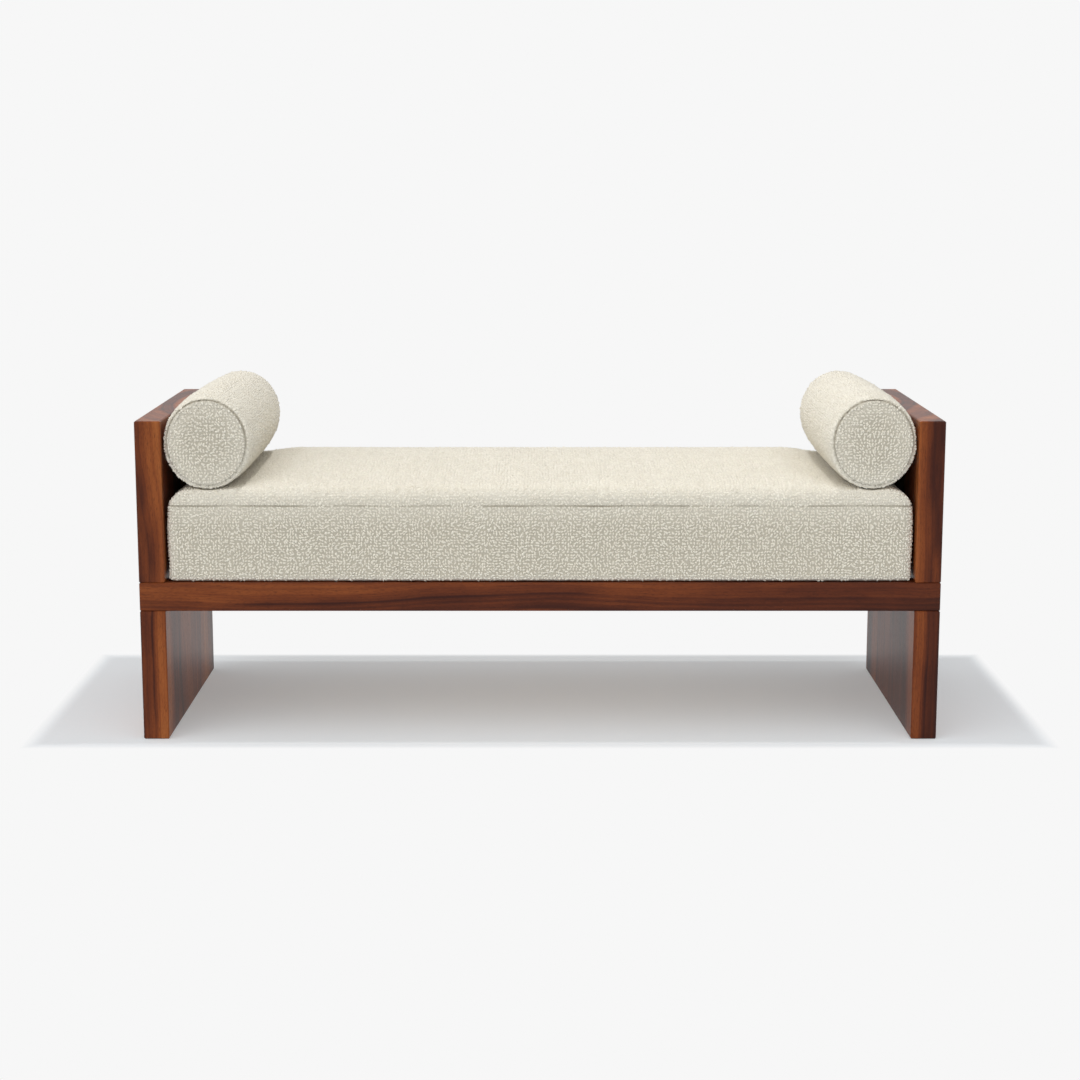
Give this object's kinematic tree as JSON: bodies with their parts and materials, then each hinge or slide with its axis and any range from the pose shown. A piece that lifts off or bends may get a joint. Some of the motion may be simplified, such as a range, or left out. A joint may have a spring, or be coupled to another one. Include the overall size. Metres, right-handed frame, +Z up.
{
  "type": "daybed",
  "caption": "Low backless daybed bench: two slab ends and slab legs on a slatted platform frame, with a box cushion and a round bolster lying against each end.",
  "frame": {"origin": "on the floor, midway between the ends and midway between front and back", "axes": "+X along the bench to the right as seen from the front, +Y from front to back, +Z up"},
  "size_m": [1.56, 0.59, 0.6816],
  "materials": {
    "walnut_rail": "oiled walnut, grain along the rail",
    "walnut_panel": "oiled walnut, grain upright",
    "walnut_leg": "oiled walnut, grain upright",
    "beech_deck": "plain planed beech",
    "beech_joint": "plain beech",
    "zinc_steel": "zinc plated",
    "brass_insert": "plain",
    "nylon_pad": "dark nylon",
    "boucle_seat": "cream boucle",
    "boucle_bolster": "cream boucle",
    "foam": "open foam",
    "zip_chain": "nylon coil, dyed to the cover",
    "zip_slider": "painted to match the cover"
  },
  "bodies": {
    "bench_frame": {"front_rail": "walnut_rail", "rear_rail": "walnut_rail", "left_end_rail": "walnut_rail", "right_end_rail": "walnut_rail", "left_end_panel": "walnut_panel", "right_end_panel": "walnut_panel", "left_leg": "walnut_leg", "right_leg": "walnut_leg", "front_ledger": "beech_deck", "rear_ledger": "beech_deck", "mitre_tenons": "beech_joint", "end_tenons": "beech_joint", "tie_bolts": "zinc_steel", "tie_washers": "zinc_steel", "panel_inserts": "brass_insert", "left_foot_pads": "nylon_pad", "right_foot_pads": "nylon_pad", "slat_01": "beech_deck", "slat_02": "beech_deck", "slat_03": "beech_deck", "slat_04": "beech_deck", "slat_05": "beech_deck", "slat_06": "beech_deck", "slat_07": "beech_deck", "slat_08": "beech_deck", "slat_09": "beech_deck", "slat_10": "beech_deck", "slat_11": "beech_deck", "slat_12": "beech_deck", "slat_13": "beech_deck"},
    "seat_cushion": {"seat_cushion_cover": "boucle_seat", "seat_foam_core": "foam", "seat_zip": "zip_chain"},
    "seat_zip_slider": {"seat_zip_slider": "zip_slider"},
    "left_bolster": {"left_bolster_cover": "boucle_bolster", "left_bolster_core": "foam", "left_bolster_zip": "zip_chain"},
    "left_bolster_zip_slider": {"left_bolster_zip_slider": "zip_slider"},
    "right_bolster": {"right_bolster_cover": "boucle_bolster", "right_bolster_core": "foam", "right_bolster_zip": "zip_chain"},
    "right_bolster_zip_slider": {"right_bolster_zip_slider": "zip_slider"}
  },
  "joints": [
    {"name": "seat_cushion_lift", "type": "slide", "parent": "bench_frame", "child": "seat_cushion", "axis": [0, 0, 1], "range_m": [0, 0.36]},
    {"name": "seat_zip_run", "type": "slide", "parent": "seat_cushion", "child": "seat_zip_slider", "axis": [1, 0, 0], "range_m": [0, 1.18]},
    {"name": "left_bolster_lift", "type": "slide", "parent": "seat_cushion", "child": "left_bolster", "axis": [0, 0, 1], "range_m": [0, 0.16]},
    {"name": "left_bolster_zip_run", "type": "slide", "parent": "left_bolster", "child": "left_bolster_zip_slider", "axis": [0, 1, 0], "range_m": [0, 0.32]},
    {"name": "right_bolster_lift", "type": "slide", "parent": "seat_cushion", "child": "right_bolster", "axis": [0, 0, 1], "range_m": [0, 0.16]},
    {"name": "right_bolster_zip_run", "type": "slide", "parent": "right_bolster", "child": "right_bolster_zip_slider", "axis": [0, 1, 0], "range_m": [0, 0.32]}
  ]
}
